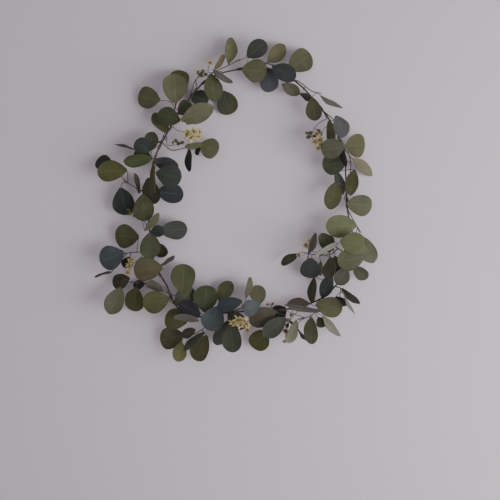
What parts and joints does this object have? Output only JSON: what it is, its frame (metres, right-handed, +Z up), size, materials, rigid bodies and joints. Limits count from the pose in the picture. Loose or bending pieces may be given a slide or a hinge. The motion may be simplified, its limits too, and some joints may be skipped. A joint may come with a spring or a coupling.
{
  "type": "harvest door wreath",
  "caption": "Open oval door wreath of round-leaved eucalyptus sprigs, seed sprays and small cream flowers, bound to a wire hoop and hung from a wire loop at the top.",
  "frame": {"origin": "the hanging point, at the inside top of the hanger's hook eye", "axes": "+Z up, +X to the right of someone facing the wreath, and the wreath's front faces -Y"},
  "size_m": [0.5686, 0.0904, 0.6513],
  "materials": {
    "hoop_wire": "matt dark brown wrapped wire",
    "hanger_wire": "plain steel wire",
    "tape": "matt brown floral tape",
    "leaf_olive": "matt olive leaf cloth on wired stems",
    "leaf_green": "matt dark green leaf cloth on wired stems",
    "leaf_slate": "matt slate-grey leaf cloth on wired stems",
    "seed": "matt brown-green seed heads",
    "flower": "matt cream flower heads"
  },
  "bodies": {
    "wreath": {"hoop": "hoop_wire", "binding_01": "tape", "binding_02": "tape", "binding_03": "tape", "binding_04": "tape", "binding_05": "tape", "binding_06": "tape", "binding_07": "tape", "binding_08": "tape", "binding_09": "tape", "binding_10": "tape", "binding_11": "tape", "binding_12": "tape", "binding_13": "tape", "binding_14": "tape", "binding_15": "tape", "binding_16": "tape", "binding_17": "tape", "binding_18": "tape", "binding_19": "tape", "binding_20": "tape", "binding_21": "tape", "sprig_01": "leaf_olive", "sprig_02": "leaf_green", "sprig_03": "leaf_slate", "sprig_04": "leaf_olive", "sprig_05": "leaf_green", "sprig_06": "leaf_slate", "sprig_07": "leaf_olive", "sprig_08": "leaf_green", "sprig_09": "leaf_slate", "sprig_10": "leaf_olive", "sprig_11": "leaf_green", "sprig_12": "leaf_slate", "sprig_13": "leaf_olive", "sprig_14": "leaf_green", "sprig_15": "leaf_slate", "sprig_16": "leaf_olive", "sprig_17": "leaf_green", "sprig_18": "leaf_slate", "sprig_19": "leaf_olive", "sprig_20": "leaf_green", "sprig_21": "leaf_slate", "seed_spray_1": "seed", "seed_spray_2": "seed", "seed_spray_3": "seed", "seed_spray_4": "seed", "seed_spray_5": "seed", "seed_spray_6": "seed", "flower_pick_1": "flower", "flower_pick_2": "flower", "flower_pick_3": "flower", "flower_pick_4": "flower", "flower_pick_5": "flower", "flower_pick_6": "flower", "flower_pick_7": "flower", "flower_pick_8": "flower"},
    "hanger": {"hanger": "hanger_wire"}
  },
  "joints": [
    {"name": "hanger_swing", "type": "hinge", "parent": "wreath", "child": "hanger", "pos_m": [0, 0, -0.0197], "axis": [0.9962, 0, 0.0871], "range_deg": [-105, 0]}
  ]
}
